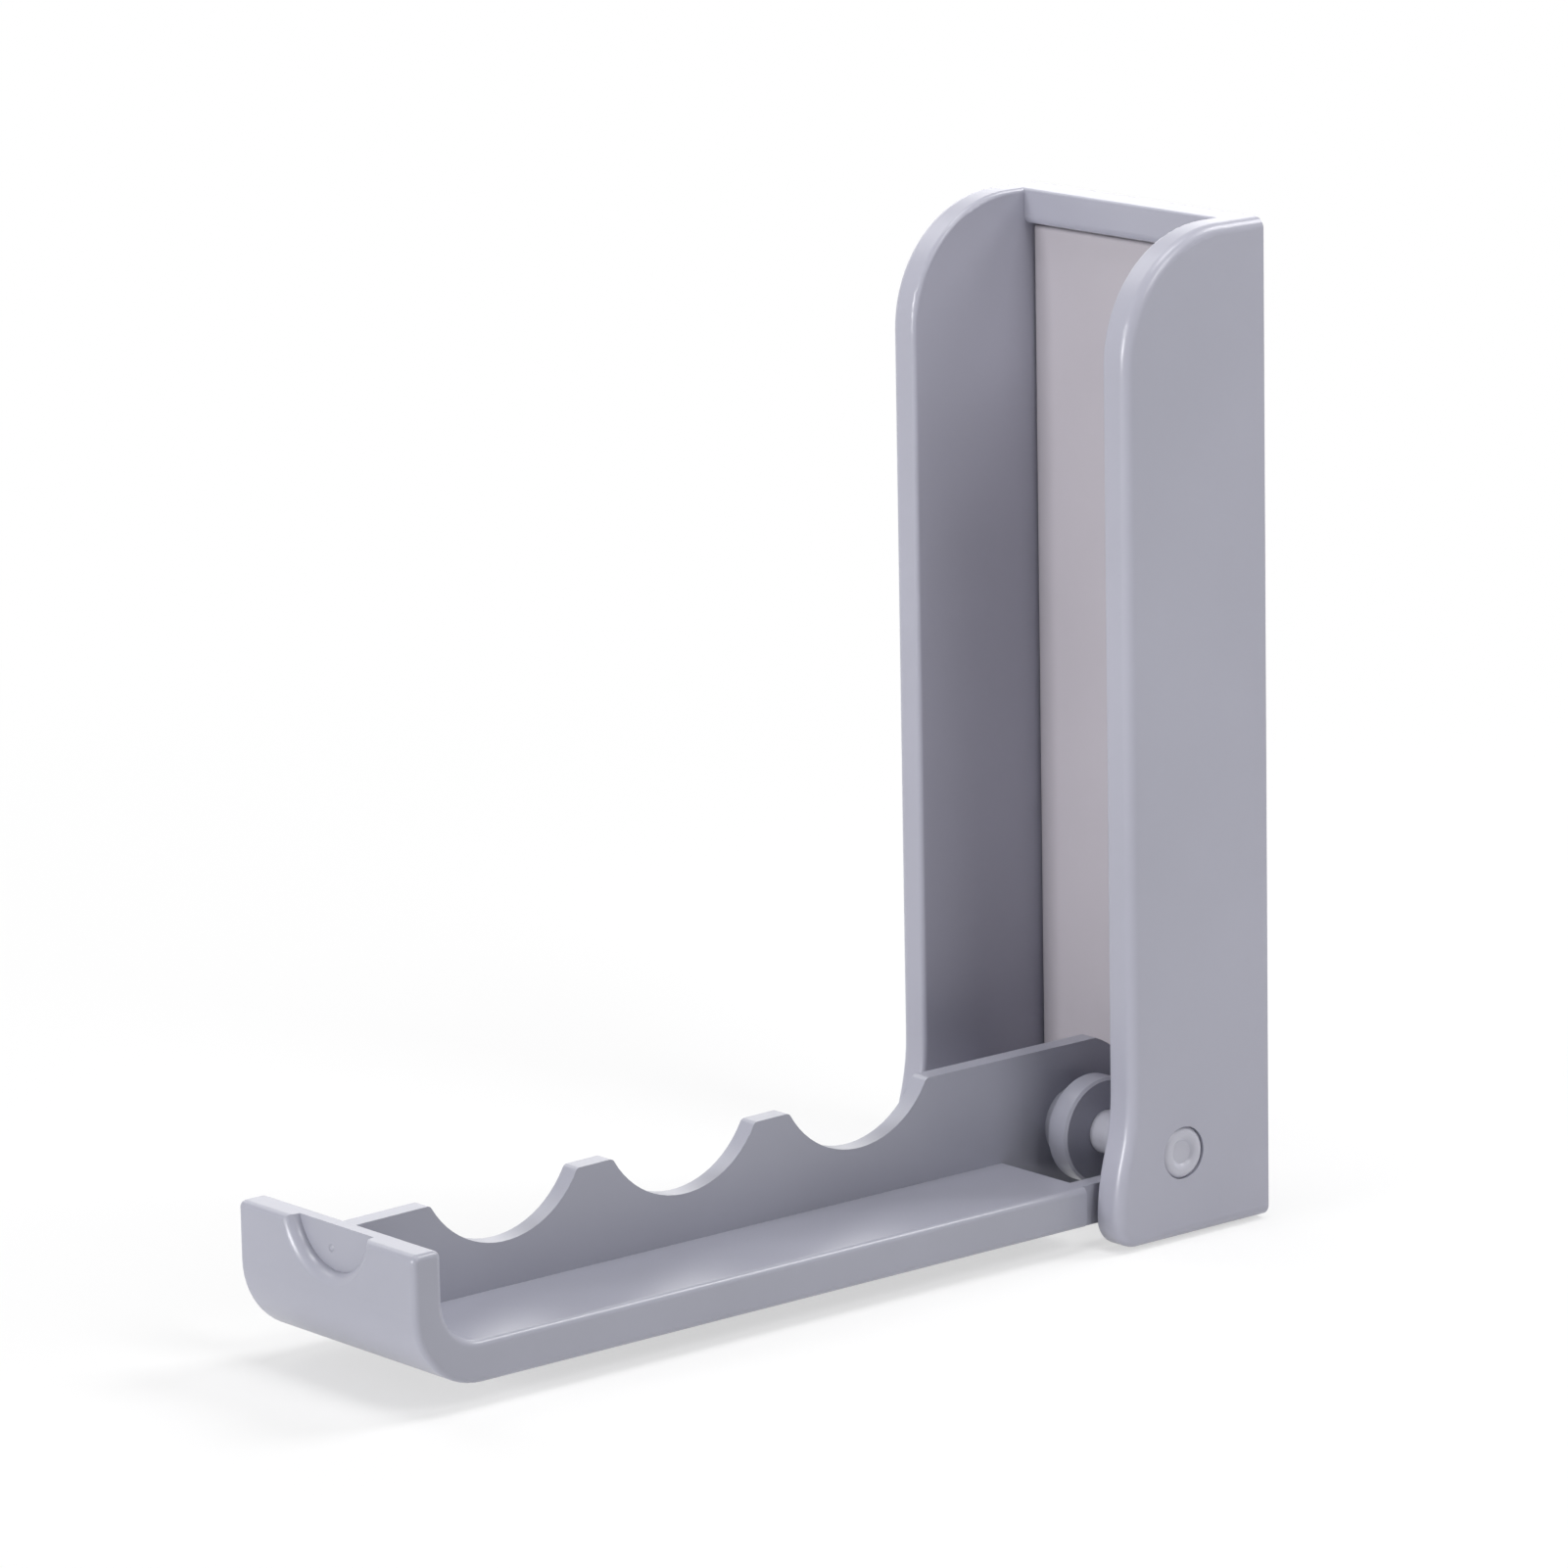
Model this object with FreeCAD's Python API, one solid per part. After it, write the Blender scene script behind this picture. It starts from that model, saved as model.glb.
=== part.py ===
import FreeCAD, Part
import math
import os

# Folding wall hook: a moulded channel, a wall plate in its back, a notched arm and the hinge pin.
# Millimetres. X runs across the hook, the wall is the plane Y = 0 and the room is towards -Y.
# The origin is the middle of the back, and the arm is modelled let down, level.

# Housing
housing_height = 160.0
housing_width = 55.0
housing_depth = 29.0
cheek_thickness = 5.6
top_corner_radius = 20.5
foot_corner_radius = 4.5
foot_sweep = 3.0
foot_sweep_start = 11.0
outer_edge_round = 1.8
inner_edge_round = 0.8
top_strip_depth = 5.4
top_strip_height = 5.7
strip_lip_round = 1.3
strip_top_round = 0.4
stop_bar_depth = 5.4
stop_bar_drop = 6.0

# Hinge
axis_height = 13.75
axis_front_inset = 10.75
pin_radius = 3.5
pin_clearance = 0.05
pin_head_radius = 4.1
pin_head_thickness = 2.0
pin_head_gap = 0.12
pin_head_bevel = 0.45
pin_dimple_radius = 2.0
pin_dimple_depth = 0.7
pin_tail_bevel = 0.6

# Wall plate
plate_thickness = 3.8
plate_side_gap = 0.3
plate_end_gap = 0.4
plate_edge_round = 0.6
screw_pitch = 84.0
screw_hole_radius = 2.25
screw_head_radius = 4.4
screw_sink_depth = 2.2
bead_radius = 0.9
bead_length = 14.0
bead_pitch = 96.0
bead_clearance = 0.15

# Arm: its folded place in the housing, its base and its curled end
arm_side_gap = 0.3
arm_front_inset = 0.35
tip_stand_out = 1.45
tip_strip_gap = 1.55
arm_floor_drop = 3.9
arm_rear = 15.3
arm_edge_round = 1.0
tip_thickness = 5.2
tip_outer_radius = 12.5
tip_inner_radius = 7.2
tip_edge_round = 1.1
thumb_radius = 9.4
thumb_rise = 2.3
thumb_depth = 2.3
thumb_lip_round = 2.1
thumb_lip_proud = 0.05

# Arm: the notched web
web_thickness = 3.2
web_plate_gap = 1.55
web_heel_gap = 0.6
web_fall = 1.8
web_level_end = 31.0
notch_count = 3
notch_first = 45.0
notch_last_inset = 32.5
notch_radius = 16.0
notch_depth = 8.4
crest_round = 1.0

# Arm: the hub and the ears
barrel_radius = 6.0
barrel_length = 3.4
flange_radius = 8.65
flange_thickness = 4.4
flange_edge_bevel = 0.4
ear_thickness = 2.9
ear_inset = 1.0
ear_heel_round = 2.0
stop_gap = 0.05

# Sizes that follow from the ones above
half_width = housing_width / 2
inner_half = half_width - cheek_thickness
top = housing_height / 2
bottom = -housing_height / 2
axis_depth = housing_depth - axis_front_inset
axis_y = -axis_depth
axis_z = bottom + axis_height
stop_bar_top = axis_z - stop_bar_drop
strip_bottom = top - top_strip_height
arm_half = inner_half - arm_side_gap
arm_reach = top + tip_stand_out - axis_z
arm_base_drop = axis_front_inset - arm_front_inset
tip_height = axis_depth - top_strip_depth - tip_strip_gap
web_half = web_thickness / 2
web_root_height = axis_depth - plate_thickness - web_plate_gap
web_heel_radius = axis_depth - plate_thickness - web_heel_gap
notch_pitch = (arm_reach - notch_last_inset - notch_first) / (notch_count - 1)
flange_outer = web_half + barrel_length + flange_thickness
overlap = 1.0


def at(x, y, z):
    return FreeCAD.Vector(x, y, z)


def box(x0, x1, y0, y1, z0, z1):
    """A block between two corners."""
    return Part.makeBox(x1 - x0, y1 - y0, z1 - z0, at(x0, y0, z0))


def line(start, end):
    return Part.makeLine(at(0, *start), at(0, *end))


def arc(centre, radius, start, end):
    """An arc in the side view, with its angles in degrees from +Y towards +Z."""
    points = []
    for angle in (start, (start + end) / 2, end):
        turn = math.radians(angle)
        points.append(at(0, centre[0] + radius * math.cos(turn), centre[1] + radius * math.sin(turn)))
    return Part.Arc(*points).toShape()


def side_solid(edges, x0, x1):
    """A closed side view carried across from x0 to x1."""
    face = Part.Face(Part.Wire(edges))
    return face.translated(at(x0, 0, 0)).extrude(at(x1 - x0, 0, 0))


def rod(radius, x0, x1, y, z):
    """A round bar across the hook."""
    return Part.makeCylinder(radius, x1 - x0, at(x0, y, z), at(1, 0, 0))


def edges_where(shape, test):
    """Edges whose middle point, and box, pass a test."""
    found = []
    for edge in shape.Edges:
        middle = edge.valueAt((edge.FirstParameter + edge.LastParameter) / 2)
        if test(middle, edge.BoundBox):
            found.append(edge)
    return found


def near(value, target):
    return abs(value - target) < 0.01


def on_arm(reach, height):
    """A place in the arm's side view: reach from the hinge towards the room, height over it."""
    return (axis_y - reach, axis_z + height)


def cheek_outline():
    """Side view of a cheek, with its round top corner and its foot swept forward."""
    front = -housing_depth
    sweep_top = axis_z + foot_sweep_start
    sweep_bottom = bottom + foot_corner_radius
    sweep_height = sweep_top - sweep_bottom
    sweep_radius = (sweep_height ** 2 + foot_sweep ** 2) / (4 * foot_sweep)
    sweep_angle = math.degrees(math.asin(sweep_height / 2 / sweep_radius))
    toe = front - foot_sweep
    return [
        line((0, bottom), (0, top)),
        line((0, top), (front + top_corner_radius, top)),
        arc((front + top_corner_radius, top - top_corner_radius), top_corner_radius, 90, 180),
        line((front, top - top_corner_radius), (front, sweep_top)),
        arc((front - sweep_radius, sweep_top), sweep_radius, 0, -sweep_angle),
        arc((toe + sweep_radius, sweep_bottom), sweep_radius, 180 - sweep_angle, 180),
        arc((toe + foot_corner_radius, sweep_bottom), foot_corner_radius, 180, 270),
        line((toe + foot_corner_radius, bottom), (0, bottom)),
    ]


def cheek(side):
    """One side wall: its outer rim is well rounded and its inner rim lightly."""
    inner = side * inner_half
    outer = side * half_width
    wall = side_solid(cheek_outline(), min(inner, outer), max(inner, outer))
    rim = edges_where(wall, lambda p, b: near(b.XMin, outer) and near(b.XMax, outer) and not near(p.y, 0))
    wall = wall.makeFillet(outer_edge_round, rim)
    lip = edges_where(wall, lambda p, b: near(b.XMin, inner) and near(b.XMax, inner) and not near(p.y, 0))
    return wall.makeFillet(inner_edge_round, lip)


def bead_places():
    """Heights of the snap beads along each side of the wall plate."""
    middle = (stop_bar_top + strip_bottom) / 2
    return [middle - bead_pitch / 2, middle + bead_pitch / 2]


def bead(radius, side, height, spare):
    """A half-round snap bead on a long side of the wall plate, or its pocket."""
    length = bead_length + 2 * spare
    start = at(side * (inner_half - plate_side_gap), -plate_thickness / 2, height - length / 2)
    return Part.makeCylinder(radius + spare, length, start, at(0, 0, 1))


def make_housing():
    """Two cheeks joined by a strip at the top of the back and a stop bar at the foot."""
    reach = inner_half + overlap
    strip = box(-reach, reach, -top_strip_depth, 0, strip_bottom, top)
    lower = edges_where(strip, lambda p, b: near(p.y, -top_strip_depth) and near(p.z, strip_bottom))
    strip = strip.makeFillet(strip_lip_round, lower)
    upper = edges_where(strip, lambda p, b: near(p.y, -top_strip_depth) and near(p.z, top))
    strip = strip.makeFillet(strip_top_round, upper)
    bar = box(-reach, reach, -stop_bar_depth, 0, bottom, stop_bar_top)
    foot = edges_where(bar, lambda p, b: near(p.y, -stop_bar_depth) and near(p.z, bottom))
    bar = bar.makeFillet(strip_lip_round, foot)
    body = cheek(1).multiFuse([cheek(-1), strip, bar])
    outside = half_width + overlap
    bore = rod(pin_radius, -outside, outside, axis_y, axis_z)
    seat_radius = pin_head_radius + pin_head_gap
    seat = rod(seat_radius, half_width - pin_head_thickness, outside, axis_y, axis_z)
    pockets = []
    for side in (-1, 1):
        for height in bead_places():
            pockets.append(bead(bead_radius, side, height, bead_clearance))
    return body.cut([bore, seat] + pockets).removeSplitter()


def make_wall_plate():
    """The plate that is screwed to the wall, with soft front edges and snap beads on its sides."""
    half = inner_half - plate_side_gap
    low = stop_bar_top + plate_end_gap
    high = strip_bottom - plate_end_gap
    plate = box(-half, half, -plate_thickness, 0, low, high)
    front = edges_where(plate, lambda p, b: near(p.y, -plate_thickness))
    plate = plate.makeFillet(plate_edge_round, front)
    beads = []
    for side in (-1, 1):
        for height in bead_places():
            beads.append(bead(bead_radius, side, height, 0))
    plate = plate.multiFuse(beads)
    middle = (low + high) / 2
    for height in (middle - screw_pitch / 2, middle + screw_pitch / 2):
        back = at(0, overlap, height)
        hole = Part.makeCylinder(screw_hole_radius, plate_thickness + 2 * overlap, back, at(0, -1, 0))
        front_face = at(0, -plate_thickness, height)
        sink = Part.makeCone(screw_head_radius, screw_hole_radius, screw_sink_depth, front_face, at(0, 1, 0))
        plate = plate.cut([hole, sink])
    return plate.removeSplitter()


def make_pin():
    """The pin: a plain shank with a bevelled tail, and a bevelled head with a round dimple."""
    head_start = half_width - pin_head_thickness
    shank = rod(pin_radius, -half_width, head_start, axis_y, axis_z)
    tail = edges_where(shank, lambda p, b: near(b.XMin, -half_width) and near(b.XMax, -half_width))
    shank = shank.makeChamfer(pin_tail_bevel, tail)
    head = rod(pin_head_radius, head_start, half_width, axis_y, axis_z)
    rim = edges_where(head, lambda p, b: near(b.XMin, half_width))
    head = head.makeChamfer(pin_head_bevel, rim)
    pin = shank.fuse(head)
    sphere_radius = (pin_dimple_radius ** 2 + pin_dimple_depth ** 2) / (2 * pin_dimple_depth)
    dimple_centre = at(half_width + sphere_radius - pin_dimple_depth, axis_y, axis_z)
    return pin.cut(Part.makeSphere(sphere_radius, dimple_centre)).removeSplitter()


def crest_height(reach):
    """Height of the web's crests: level near the hinge, and falling a little towards the tip."""
    slope = web_fall / (arm_reach - web_level_end)
    return web_root_height - slope * max(reach - web_level_end, 0)


def tray_outline():
    """Side view of the arm's flat base with the wall that curls up at its end."""
    inner_face = arm_reach - tip_thickness
    inner_centre = on_arm(inner_face - tip_inner_radius, tip_inner_radius - arm_floor_drop)
    outer_centre = on_arm(arm_reach - tip_outer_radius, tip_outer_radius - arm_base_drop)
    return [
        line(on_arm(arm_rear, -arm_base_drop), on_arm(arm_rear, -arm_floor_drop)),
        line(on_arm(arm_rear, -arm_floor_drop), (inner_centre[0], axis_z - arm_floor_drop)),
        arc(inner_centre, tip_inner_radius, 270, 180),
        line((inner_centre[0] - tip_inner_radius, inner_centre[1]), on_arm(inner_face, tip_height)),
        line(on_arm(inner_face, tip_height), on_arm(arm_reach, tip_height)),
        line(on_arm(arm_reach, tip_height), (outer_centre[0] - tip_outer_radius, outer_centre[1])),
        arc(outer_centre, tip_outer_radius, 180, 270),
        line((outer_centre[0], axis_z - arm_base_drop), on_arm(arm_rear, -arm_base_drop)),
    ]


def make_scoop():
    """The cutter for the thumb recess: a shallow round well whose mouth is flared by a rounded lip."""
    face_y, rise = on_arm(arm_reach, tip_height + thumb_rise)
    floor_y = face_y + thumb_depth
    flare = (face_y + thumb_lip_round - thumb_lip_proud, rise + thumb_radius + thumb_lip_round)
    mouth_y = flare[0] - thumb_lip_round
    outline = [
        line((floor_y, rise), (floor_y, rise + thumb_radius)),
        line((floor_y, rise + thumb_radius), (flare[0], rise + thumb_radius)),
        arc(flare, thumb_lip_round, 270, 180),
        line((mouth_y, flare[1]), (mouth_y - overlap, flare[1])),
        line((mouth_y - overlap, flare[1]), (mouth_y - overlap, rise)),
        line((mouth_y - overlap, rise), (floor_y, rise)),
    ]
    return Part.Face(Part.Wire(outline)).revolve(at(0, face_y, rise), at(0, 1, 0), 360)


def make_tray():
    """The arm's base and curled end, with a thumb recess in the end's outer face."""
    tray = side_solid(tray_outline(), -arm_half, arm_half)
    brim = edges_where(tray, lambda p, b: near(p.x, 0) and near(p.z, axis_z + tip_height))
    tray = tray.makeFillet(tip_edge_round, brim)
    sides = edges_where(tray, lambda p, b: near(b.XLength, 0) and not near(p.y, axis_y - arm_rear))
    tray = tray.makeFillet(arm_edge_round, sides)
    return tray.cut(make_scoop())


def web_outline():
    """Side view of the web in front of the hinge, before its notches are cut."""
    wall = arm_reach - tip_thickness + overlap
    buried = arm_floor_drop + overlap
    corners = [
        on_arm(wall, crest_height(wall)),
        on_arm(web_level_end, web_root_height),
        on_arm(0, web_root_height),
        on_arm(0, -arm_base_drop),
        on_arm(arm_rear + overlap, -arm_base_drop),
        on_arm(arm_rear + overlap, -buried),
        on_arm(wall, -buried),
    ]
    return [line(start, end) for start, end in zip(corners, corners[1:] + corners[:1])]


def make_web():
    """The upright web: round about the hinge at its back, flat below, with round notches on top."""
    web = side_solid(web_outline(), -web_half, web_half)
    web = web.fuse(rod(web_heel_radius, -web_half, web_half, axis_y, axis_z))
    base_z = axis_z - arm_base_drop
    crest_z = axis_z + web_root_height
    far_y = axis_y - housing_depth
    below = box(-web_half, web_half, far_y, 0, base_z - housing_depth, base_z)
    above = box(-web_half, web_half, far_y, 0, crest_z, crest_z + housing_depth)
    web = web.cut([below, above]).removeSplitter()
    for index in range(notch_count):
        reach = notch_first + index * notch_pitch
        y, z = on_arm(reach, crest_height(reach) - notch_depth + notch_radius)
        web = web.cut(rod(notch_radius, -arm_half, arm_half, y, z))
        middle = z - notch_radius + notch_depth / 2
        crests = edges_where(web, lambda p, b: b.XLength > web_half and p.z > middle
                             and near(math.dist((p.y, p.z), (y, z)), notch_radius))
        web = web.makeFillet(crest_round, crests)
    return web


def make_hub():
    """On each side of the web: a short barrel, then a wide flange that keeps the arm centred."""
    pieces = []
    for side in (-1, 1):
        barrel_end = web_half + barrel_length
        inner = min(side * web_half, side * barrel_end)
        pieces.append(rod(barrel_radius, inner, inner + barrel_length, axis_y, axis_z))
        inner = min(side * barrel_end, side * flange_outer)
        disc = rod(flange_radius, inner, inner + flange_thickness, axis_y, axis_z)
        rims = edges_where(disc, lambda p, b: near(b.XLength, 0))
        pieces.append(disc.makeChamfer(flange_edge_bevel, rims))
    return pieces


def make_ears():
    """Two ears that run back past the hinge and bear on the stop bar when the arm is down."""
    heel_y = -stop_bar_depth - stop_gap
    base_z = axis_z - arm_base_drop
    ears = []
    for side in (-1, 1):
        outer = side * (arm_half - ear_inset)
        inner = side * (arm_half - ear_inset - ear_thickness)
        root_y = axis_y - arm_rear - overlap
        ear = box(min(inner, outer), max(inner, outer), root_y, heel_y, base_z, axis_z - arm_floor_drop)
        corner = edges_where(ear, lambda p, b: near(p.y, heel_y) and near(p.z, base_z))
        ears.append(ear.makeFillet(ear_heel_round, corner))
    return ears


def make_arm():
    """The arm, one moulding: base and curled end, web, hub and ears, bored for the pin."""
    arm = make_tray().multiFuse([make_web()] + make_hub() + make_ears())
    bore = rod(pin_radius + pin_clearance, -flange_outer - overlap, flange_outer + overlap, axis_y, axis_z)
    return arm.cut(bore).removeSplitter()


os.makedirs("parts", exist_ok=True)
nodes = {
    "housing": make_housing(),
    "wall_plate": make_wall_plate(),
    "hinge_pin": make_pin(),
    "arm": make_arm(),
}
for name, shape in nodes.items():
    shape.exportStep(f"parts/{name}.step")
    print(name, shape.isValid(), len(shape.Solids), round(shape.Volume), shape.BoundBox)
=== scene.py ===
import math

import bpy
from mathutils import Matrix, Vector


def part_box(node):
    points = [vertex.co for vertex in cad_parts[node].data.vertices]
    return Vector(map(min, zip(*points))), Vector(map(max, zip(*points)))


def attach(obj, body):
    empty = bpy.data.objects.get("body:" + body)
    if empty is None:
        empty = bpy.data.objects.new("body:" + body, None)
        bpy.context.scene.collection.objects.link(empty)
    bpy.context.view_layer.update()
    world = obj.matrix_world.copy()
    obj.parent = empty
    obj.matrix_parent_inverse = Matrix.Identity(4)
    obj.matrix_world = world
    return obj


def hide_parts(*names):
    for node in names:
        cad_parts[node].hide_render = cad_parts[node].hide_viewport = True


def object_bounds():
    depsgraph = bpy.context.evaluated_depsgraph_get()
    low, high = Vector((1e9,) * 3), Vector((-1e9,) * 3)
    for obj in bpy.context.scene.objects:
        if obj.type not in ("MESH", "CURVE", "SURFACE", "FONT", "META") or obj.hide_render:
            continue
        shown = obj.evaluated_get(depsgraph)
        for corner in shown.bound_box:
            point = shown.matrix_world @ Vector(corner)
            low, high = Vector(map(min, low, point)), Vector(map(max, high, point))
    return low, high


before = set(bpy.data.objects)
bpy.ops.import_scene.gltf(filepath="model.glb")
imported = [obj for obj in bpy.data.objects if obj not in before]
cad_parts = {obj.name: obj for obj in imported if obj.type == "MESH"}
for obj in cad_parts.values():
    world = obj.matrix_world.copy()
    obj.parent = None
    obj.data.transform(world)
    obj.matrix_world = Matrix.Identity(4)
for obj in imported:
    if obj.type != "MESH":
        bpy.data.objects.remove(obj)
cad_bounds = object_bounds()


# Camera
# The hook is seen from its front right and a little above, through a long lens, so that the
# near cheek hides the middle of the wall plate. The view is level but for a turn of one degree.
image_size = 1601
focal_pixels = 8387.69
sensor_width = 36.0
clip_near = 0.05
clip_far = 20.0
eye = Vector((0.94190, -0.86462, 0.27745))
heading = math.radians(50.05)
pitch_down = math.radians(12.817)
roll = math.radians(-1.07)

right = Vector((math.cos(heading), math.sin(heading), 0.0))
look = Vector((-math.sin(heading) * math.cos(pitch_down),
               math.cos(heading) * math.cos(pitch_down),
               -math.sin(pitch_down)))
up = right.cross(look)
rolled_right = math.cos(roll) * right + math.sin(roll) * up
rolled_up = math.cos(roll) * up - math.sin(roll) * right
turn = Matrix((rolled_right, rolled_up, -look)).transposed().to_4x4()

lens = bpy.data.cameras.new("view_lens")
lens.sensor_fit = "HORIZONTAL"
lens.sensor_width = sensor_width
lens.lens = focal_pixels / image_size * sensor_width
lens.clip_start = clip_near
lens.clip_end = clip_far
camera = bpy.data.objects.new("view", lens)
camera.matrix_world = Matrix.Translation(eye) @ turn
bpy.context.scene.collection.objects.link(camera)
bpy.context.scene.camera = camera


# Floor and light
# The hook stands over a flat floor of white paper, under a white sky, and six soft lamps hang in
# front, at both sides, over it and behind it. All of this is staging.
white = (1.0, 1.0, 1.0, 1.0)
floor_drop = 0.0005
floor_half = 6.0
floor_z = cad_bounds[0][2] - floor_drop
paper_white = (0.88, 0.88, 0.88, 1.0)
shadow_middle = (0.0, -0.08, floor_z)
glow_near = 0.6
glow_from = 0.12
glow_full = 0.5
sky_grey = 0.05
hook_middle = Vector((0.0, -0.06, 0.0))


def seen_or_mirrored(nodes, links):
    """Gives 1 for what the camera sees, directly or in a glossy surface, and 0 for all else."""
    path = nodes.new("ShaderNodeLightPath")
    either = nodes.new("ShaderNodeMath")
    either.operation = "MAXIMUM"
    links.new(path.outputs["Is Camera Ray"], either.inputs[0])
    links.new(path.outputs["Is Glossy Ray"], either.inputs[1])
    return either.outputs["Value"]


floor_mesh = bpy.data.meshes.new("floor")
floor_mesh.from_pydata(
    [(-floor_half, -floor_half, floor_z), (floor_half, -floor_half, floor_z),
     (floor_half, floor_half, floor_z), (-floor_half, floor_half, floor_z)],
    [], [(0, 1, 2, 3)])
floor = bpy.data.objects.new("floor", floor_mesh)
bpy.context.scene.collection.objects.link(floor)

# The paper takes the hook's shadow near it, and glows to plain white further out.
paper = bpy.data.materials.new("floor_paper")
paper.use_nodes = True
nodes = paper.node_tree.nodes
links = paper.node_tree.links
nodes.clear()
matte = nodes.new("ShaderNodeBsdfDiffuse")
matte.inputs["Color"].default_value = paper_white
glow = nodes.new("ShaderNodeEmission")
glow.inputs["Color"].default_value = white
glow.inputs["Strength"].default_value = 1.0
place = nodes.new("ShaderNodeTexCoord")
reach = nodes.new("ShaderNodeVectorMath")
reach.operation = "DISTANCE"
reach.inputs[1].default_value = shadow_middle
links.new(place.outputs["Object"], reach.inputs[0])
fade = nodes.new("ShaderNodeMapRange")
fade.interpolation_type = "SMOOTHSTEP"
fade.inputs["From Min"].default_value = glow_from
fade.inputs["From Max"].default_value = glow_full
fade.inputs["To Min"].default_value = glow_near
fade.inputs["To Max"].default_value = 1.0
links.new(reach.outputs["Value"], fade.inputs["Value"])
share = nodes.new("ShaderNodeMath")
share.operation = "MULTIPLY"
links.new(seen_or_mirrored(nodes, links), share.inputs[0])
links.new(fade.outputs["Result"], share.inputs[1])
mix = nodes.new("ShaderNodeMixShader")
links.new(share.outputs["Value"], mix.inputs["Fac"])
links.new(matte.outputs["BSDF"], mix.inputs[1])
links.new(glow.outputs["Emission"], mix.inputs[2])
out = nodes.new("ShaderNodeOutputMaterial")
links.new(mix.outputs["Shader"], out.inputs["Surface"])
floor_mesh.materials.append(paper)

# The sky looks white, but lights the hook only as a dim grey.
world = bpy.data.worlds.new("sky")
world.use_nodes = True
nodes = world.node_tree.nodes
links = world.node_tree.links
nodes.clear()
ambient = nodes.new("ShaderNodeBackground")
ambient.inputs["Color"].default_value = white
ambient.inputs["Strength"].default_value = sky_grey
backdrop = nodes.new("ShaderNodeBackground")
backdrop.inputs["Color"].default_value = white
backdrop.inputs["Strength"].default_value = 1.0
mix = nodes.new("ShaderNodeMixShader")
links.new(seen_or_mirrored(nodes, links), mix.inputs["Fac"])
links.new(ambient.outputs["Background"], mix.inputs[1])
links.new(backdrop.outputs["Background"], mix.inputs[2])
out = nodes.new("ShaderNodeOutputWorld")
links.new(mix.outputs["Shader"], out.inputs["Surface"])
bpy.context.scene.world = world

bpy.context.scene.view_settings.view_transform = "Standard"


def soft_lamp(name, place, width, height, watts):
    """A lamp with a flat face of a width and a height, turned to face the hook."""
    data = bpy.data.lights.new(name, "AREA")
    data.shape = "RECTANGLE"
    data.size = width
    data.size_y = height
    data.energy = watts
    lamp = bpy.data.objects.new(name, data)
    lamp.location = place
    lamp.rotation_euler = (hook_middle - Vector(place)).to_track_quat("-Z", "Y").to_euler()
    bpy.context.scene.collection.objects.link(lamp)


soft_lamp("front_lamp", place=(-0.12, -1.6, 0.25), width=0.4, height=0.4, watts=14.6)
soft_lamp("right_lamp", place=(1.0, -0.04, 0.9), width=0.5, height=0.5, watts=6.0)
soft_lamp("over_lamp", place=(0.05, -0.15, 1.3), width=0.5, height=0.5, watts=6.2)
soft_lamp("left_lamp", place=(-0.9, -0.2, 1.0), width=0.6, height=0.6, watts=2.6)
soft_lamp("back_lamp", place=(0.3, 0.8, 1.0), width=0.5, height=0.5, watts=8.5)
soft_lamp("low_back_lamp", place=(-1.0, 0.84, 0.48), width=2.2, height=0.8, watts=6.8)


# Housing
# One moulding in grey plastic: two cheeks, the strip between their tops and the stop bar between
# their feet. It has a satin skin with a fine grain, and its grey drifts a little where it flowed.
housing_colour = (0.392, 0.393, 0.464)
drift_scale = 26.0
drift_detail = 2.0
drift_from = 0.3
drift_to = 0.7
drift_share = 0.03
grit_scale = 2600.0
grit_detail = 3.0
grit_height = 0.00003
gloss_spread = 0.05


def moulded_plastic(name, colour, roughness, grain):
    """Grey satin plastic: a faint drift of colour, a fine spark-eroded grain and soft gloss."""
    material = bpy.data.materials.new(name)
    material.use_nodes = True
    nodes = material.node_tree.nodes
    links = material.node_tree.links
    shader = nodes["Principled BSDF"]
    place = nodes.new("ShaderNodeTexCoord")
    drift = nodes.new("ShaderNodeTexNoise")
    drift.inputs["Scale"].default_value = drift_scale
    drift.inputs["Detail"].default_value = drift_detail
    links.new(place.outputs["Object"], drift.inputs["Vector"])
    shade = nodes.new("ShaderNodeMapRange")
    shade.inputs["From Min"].default_value = drift_from
    shade.inputs["From Max"].default_value = drift_to
    shade.inputs["To Min"].default_value = 1.0 - drift_share
    shade.inputs["To Max"].default_value = 1.0 + drift_share
    links.new(drift.outputs["Fac"], shade.inputs["Value"])
    tint = nodes.new("ShaderNodeVectorMath")
    tint.operation = "SCALE"
    tint.inputs[0].default_value = colour
    links.new(shade.outputs["Result"], tint.inputs["Scale"])
    links.new(tint.outputs["Vector"], shader.inputs["Base Color"])
    grit = nodes.new("ShaderNodeTexNoise")
    grit.inputs["Scale"].default_value = grit_scale
    grit.inputs["Detail"].default_value = grit_detail
    links.new(place.outputs["Object"], grit.inputs["Vector"])
    gloss = nodes.new("ShaderNodeMapRange")
    gloss.inputs["To Min"].default_value = roughness - gloss_spread
    gloss.inputs["To Max"].default_value = roughness + gloss_spread
    links.new(grit.outputs["Fac"], gloss.inputs["Value"])
    links.new(gloss.outputs["Result"], shader.inputs["Roughness"])
    bump = nodes.new("ShaderNodeBump")
    bump.inputs["Strength"].default_value = grain
    bump.inputs["Distance"].default_value = grit_height
    links.new(grit.outputs["Fac"], bump.inputs["Height"])
    links.new(bump.outputs["Normal"], shader.inputs["Normal"])
    return material


def finish_node(node, material):
    """Gives every slot of one of the frame's nodes the same material."""
    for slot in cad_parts[node].material_slots:
        slot.material = material


housing_plastic = moulded_plastic("housing_grey", housing_colour, roughness=0.30, grain=0.25)
finish_node("housing", housing_plastic)


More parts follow.
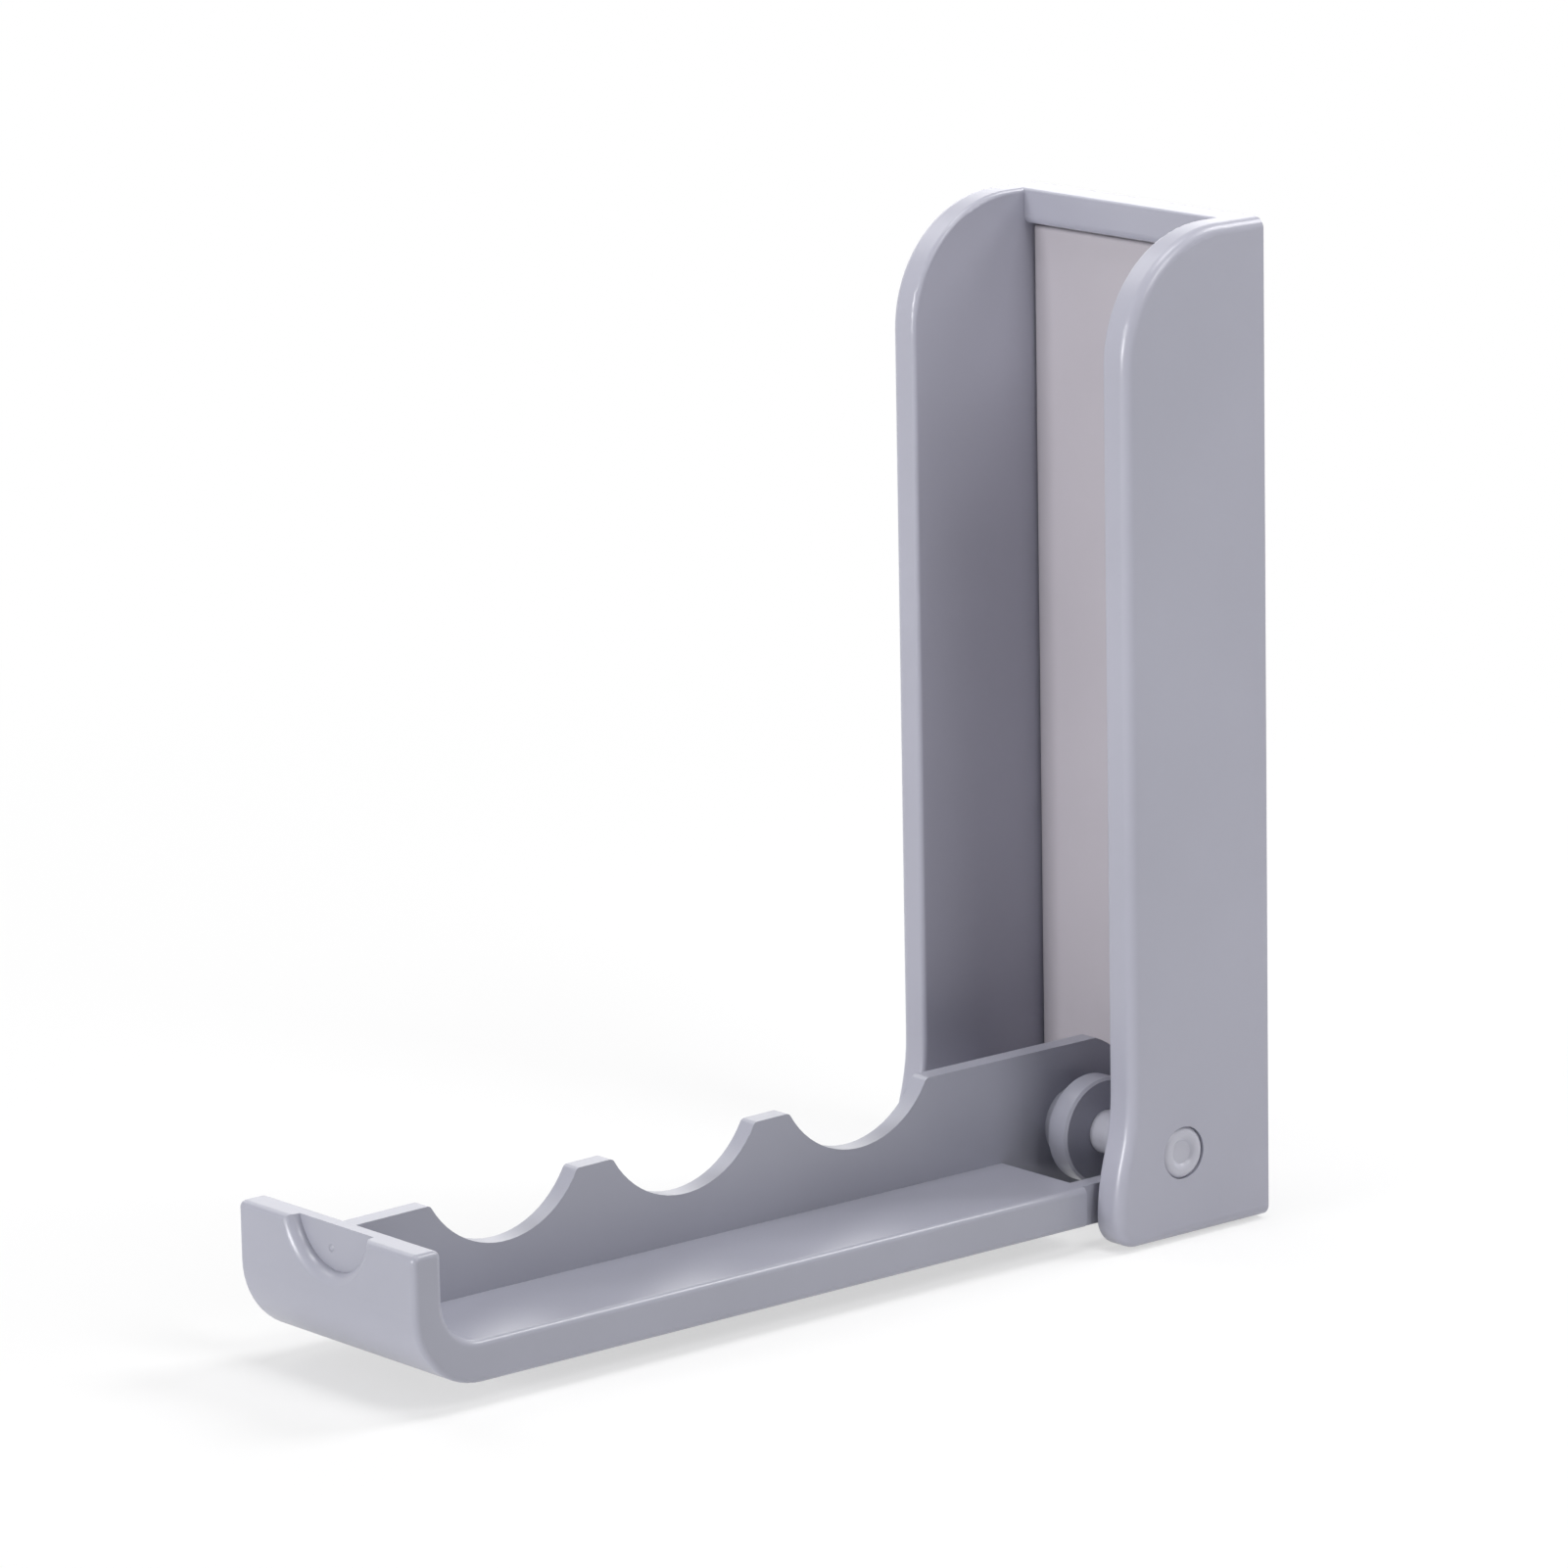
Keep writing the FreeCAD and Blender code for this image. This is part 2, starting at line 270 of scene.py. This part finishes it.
# Wall plate
# A flat moulded plate that is screwed to the wall and clicks in between the cheeks. It is a
# separate shot of the same plastic, and a little lighter and warmer than the housing.
plate_colour = (0.475, 0.447, 0.488)

plate_plastic = moulded_plastic("plate_grey", plate_colour, roughness=0.38, grain=0.25)
finish_node("wall_plate", plate_plastic)


# Arm
# One moulding in the same grey plastic: the flat base with its curled end, the notched web on it,
# the hub and the ears. The mould filled it through a gate that left a faint dot in the recess.
arm_colour = (0.358, 0.362, 0.425)
gate_spot = (-0.0015, -0.16365, -0.0588)
gate_radius = 0.0006
gate_crown_share = 0.4
gate_foot_share = 1.2
gate_height = 0.00025
gate_strength = 0.7


def gate_dot(material, spot, radius):
    """Raises a faint dot at one spot of a plastic, over its grain."""
    nodes = material.node_tree.nodes
    links = material.node_tree.links
    shader = nodes["Principled BSDF"]
    grain = shader.inputs["Normal"].links[0].from_socket
    place = nodes.new("ShaderNodeTexCoord")
    off = nodes.new("ShaderNodeVectorMath")
    off.operation = "DISTANCE"
    off.inputs[1].default_value = spot
    links.new(place.outputs["Object"], off.inputs[0])
    dome = nodes.new("ShaderNodeMapRange")
    dome.interpolation_type = "SMOOTHSTEP"
    dome.inputs["From Min"].default_value = radius * gate_crown_share
    dome.inputs["From Max"].default_value = radius * gate_foot_share
    dome.inputs["To Min"].default_value = 1.0
    dome.inputs["To Max"].default_value = 0.0
    links.new(off.outputs["Value"], dome.inputs["Value"])
    bump = nodes.new("ShaderNodeBump")
    bump.inputs["Strength"].default_value = gate_strength
    bump.inputs["Distance"].default_value = gate_height
    links.new(dome.outputs["Result"], bump.inputs["Height"])
    links.new(grain, bump.inputs["Normal"])
    links.new(bump.outputs["Normal"], shader.inputs["Normal"])


arm_plastic = moulded_plastic("arm_grey", arm_colour, roughness=0.30, grain=0.25)
gate_dot(arm_plastic, gate_spot, gate_radius)
finish_node("arm", arm_plastic)


# Hinge pin
# A pin of the same plastic, turned about its own line: it is pressed into both cheeks and runs
# through the hub, and its head has a soft raised ring round a shallow dimple.
# Painted highlight: the pin's grey is set lighter than the housing's, so that the ring on its
# head and the shank beside the hub read as lit.
pin_colour_painted_lighter = (0.48, 0.48, 0.545)
pin_low, pin_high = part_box("hinge_pin")
pin_sizes = {
    "Line Y": (pin_low[1] + pin_high[1]) / 2,
    "Line Z": (pin_low[2] + pin_high[2]) / 2,
    "Tail End": -0.0275,
    "Head Start": 0.0255,
    "Head Face": 0.0275,
    "Shank Radius": 0.0035,
    "Head Radius": 0.00418,
    "Tail Bevel": 0.0006,
    "Ring Radius": 0.003,
    "Ring Rise": 0.0006,
}
pin_turns = 96
pin_steps = 64
ring_fall = 2.6
weld_distance = 0.000001

# The profile runs from the middle of the tail's end to the middle of the head in pin_steps steps.
# These are the shares of it at which the tail's face, its bevel, the shank, the shoulder and the
# head's side end; the ring and the dimple take the rest.
tail_done, bevel_done, shank_done, shoulder_done, side_done = (
    step / pin_steps for step in (2, 4, 8, 10, 14))
crown_begins = side_done - 0.5 / pin_steps


def turned_pin_tree():
    """Turns a pin about its line: a grid is wrapped round, and its other way is the profile."""
    tree = bpy.data.node_groups.new("turned_pin", "GeometryNodeTree")
    face = tree.interface
    face.new_socket(name="Geometry", in_out="INPUT", socket_type="NodeSocketGeometry")
    for name in pin_sizes:
        face.new_socket(name=name, in_out="INPUT", socket_type="NodeSocketFloat")
    face.new_socket(name="Turns", in_out="INPUT", socket_type="NodeSocketInt")
    face.new_socket(name="Steps", in_out="INPUT", socket_type="NodeSocketInt")
    face.new_socket(name="Material", in_out="INPUT", socket_type="NodeSocketMaterial")
    face.new_socket(name="Geometry", in_out="OUTPUT", socket_type="NodeSocketGeometry")
    nodes = tree.nodes
    links = tree.links
    given = nodes.new("NodeGroupInput").outputs

    def feed(socket, value):
        if isinstance(value, (int, float)):
            socket.default_value = value
        else:
            links.new(value, socket)

    def math_node(operation, first, second=0.0):
        node = nodes.new("ShaderNodeMath")
        node.operation = operation
        feed(node.inputs[0], first)
        feed(node.inputs[1], second)
        return node.outputs["Value"]

    def ramp(value, low, high, start, end):
        """A value that runs from start to end while another runs from low to high."""
        node = nodes.new("ShaderNodeMapRange")
        feed(node.inputs["Value"], value)
        feed(node.inputs["From Min"], low)
        feed(node.inputs["From Max"], high)
        feed(node.inputs["To Min"], start)
        feed(node.inputs["To Max"], end)
        return node.outputs["Result"]

    grid = nodes.new("GeometryNodeMeshGrid")
    grid.inputs["Size X"].default_value = 1.0
    grid.inputs["Size Y"].default_value = 1.0
    feed(grid.inputs["Vertices X"], math_node("ADD", given["Turns"], 1))
    feed(grid.inputs["Vertices Y"], math_node("ADD", given["Steps"], 1))
    split = nodes.new("ShaderNodeSeparateXYZ")
    links.new(nodes.new("GeometryNodeInputPosition").outputs["Position"], split.inputs["Vector"])
    angle = math_node("MULTIPLY", math_node("ADD", split.outputs["X"], 0.5), math.tau)
    share = math_node("ADD", split.outputs["Y"], 0.5)

    # How wide the pin is at each share of its profile.
    tail_radius = math_node("SUBTRACT", given["Shank Radius"], given["Tail Bevel"])
    shoulder = math_node("SUBTRACT", given["Head Radius"], given["Shank Radius"])
    inward = math_node("MULTIPLY", given["Head Radius"], -1.0)
    wide = math_node("ADD", ramp(share, 0.0, tail_done, 0.0, tail_radius),
                     ramp(share, tail_done, bevel_done, 0.0, given["Tail Bevel"]))
    wide = math_node("ADD", wide, ramp(share, shank_done, shoulder_done, 0.0, shoulder))
    wide = math_node("ADD", wide, ramp(share, side_done, 1.0, 0.0, inward))

    # How far along its line each share lies.
    shank_start = math_node("ADD", given["Tail End"], given["Tail Bevel"])
    shank_length = math_node("SUBTRACT", given["Head Start"], shank_start)
    side_end = math_node("SUBTRACT", given["Head Face"], given["Ring Rise"])
    side_length = math_node("SUBTRACT", side_end, given["Head Start"])
    along = math_node("ADD", given["Tail End"],
                      ramp(share, tail_done, bevel_done, 0.0, given["Tail Bevel"]))
    along = math_node("ADD", along, ramp(share, bevel_done, shank_done, 0.0, shank_length))
    along = math_node("ADD", along, ramp(share, shoulder_done, side_done, 0.0, side_length))

    # The ring is a rounded hump over its own radius, and the dimple stays low inside it.
    half_ring = math_node("SUBTRACT", given["Head Radius"], given["Ring Radius"])
    off = math_node("ABSOLUTE", math_node("SUBTRACT", wide, given["Ring Radius"]))
    near_ring = math_node("MINIMUM", math_node("DIVIDE", off, half_ring), 1.0)
    drop = math_node("POWER", near_ring, ring_fall)
    hump = math_node("MULTIPLY", given["Ring Rise"], math_node("SUBTRACT", 1.0, drop))
    on_top = math_node("GREATER_THAN", share, crown_begins)
    along = math_node("ADD", along, math_node("MULTIPLY", hump, on_top))

    across = math_node("MULTIPLY", wide, math_node("COSINE", angle))
    upward = math_node("MULTIPLY", wide, math_node("SINE", angle))
    place = nodes.new("ShaderNodeCombineXYZ")
    feed(place.inputs["X"], along)
    feed(place.inputs["Y"], math_node("ADD", given["Line Y"], across))
    feed(place.inputs["Z"], math_node("ADD", given["Line Z"], upward))
    wrap = nodes.new("GeometryNodeSetPosition")
    links.new(grid.outputs["Mesh"], wrap.inputs["Geometry"])
    links.new(place.outputs["Vector"], wrap.inputs["Position"])
    close = nodes.new("GeometryNodeMergeByDistance")
    close.inputs["Distance"].default_value = weld_distance
    links.new(wrap.outputs["Geometry"], close.inputs["Geometry"])
    smooth = nodes.new("GeometryNodeSetShadeSmooth")
    links.new(close.outputs["Geometry"], smooth.inputs["Geometry"])
    real = nodes.new("GeometryNodeRealizeInstances")
    links.new(smooth.outputs["Geometry"], real.inputs["Geometry"])
    paint = nodes.new("GeometryNodeSetMaterial")
    links.new(real.outputs["Geometry"], paint.inputs["Geometry"])
    links.new(given["Material"], paint.inputs["Material"])
    links.new(paint.outputs["Geometry"], nodes.new("NodeGroupOutput").inputs["Geometry"])
    return tree


pin_plastic = moulded_plastic("pin_grey", pin_colour_painted_lighter, roughness=0.30, grain=0.15)
pin_tree = turned_pin_tree()
pin_seed = bpy.data.objects.new("pin_seed", bpy.data.meshes.new("pin_seed"))
bpy.context.scene.collection.objects.link(pin_seed)
turning = pin_seed.modifiers.new("turning", "NODES")
turning.node_group = pin_tree
sockets = {item.name: item.identifier
           for item in pin_tree.interface.items_tree if item.in_out == "INPUT"}
for name, value in pin_sizes.items():
    turning[sockets[name]] = value
turning[sockets["Turns"]] = pin_turns
turning[sockets["Steps"]] = pin_steps
turning[sockets["Material"]] = pin_plastic
shaped = pin_seed.evaluated_get(bpy.context.evaluated_depsgraph_get())
pin_mesh = bpy.data.meshes.new_from_object(shaped)
pin_mesh.name = "turned_pin"
bpy.data.objects.remove(pin_seed)
turned_pin = bpy.data.objects.new("turned_pin", pin_mesh)
bpy.context.scene.collection.objects.link(turned_pin)
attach(turned_pin, "root")
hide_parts("hinge_pin")
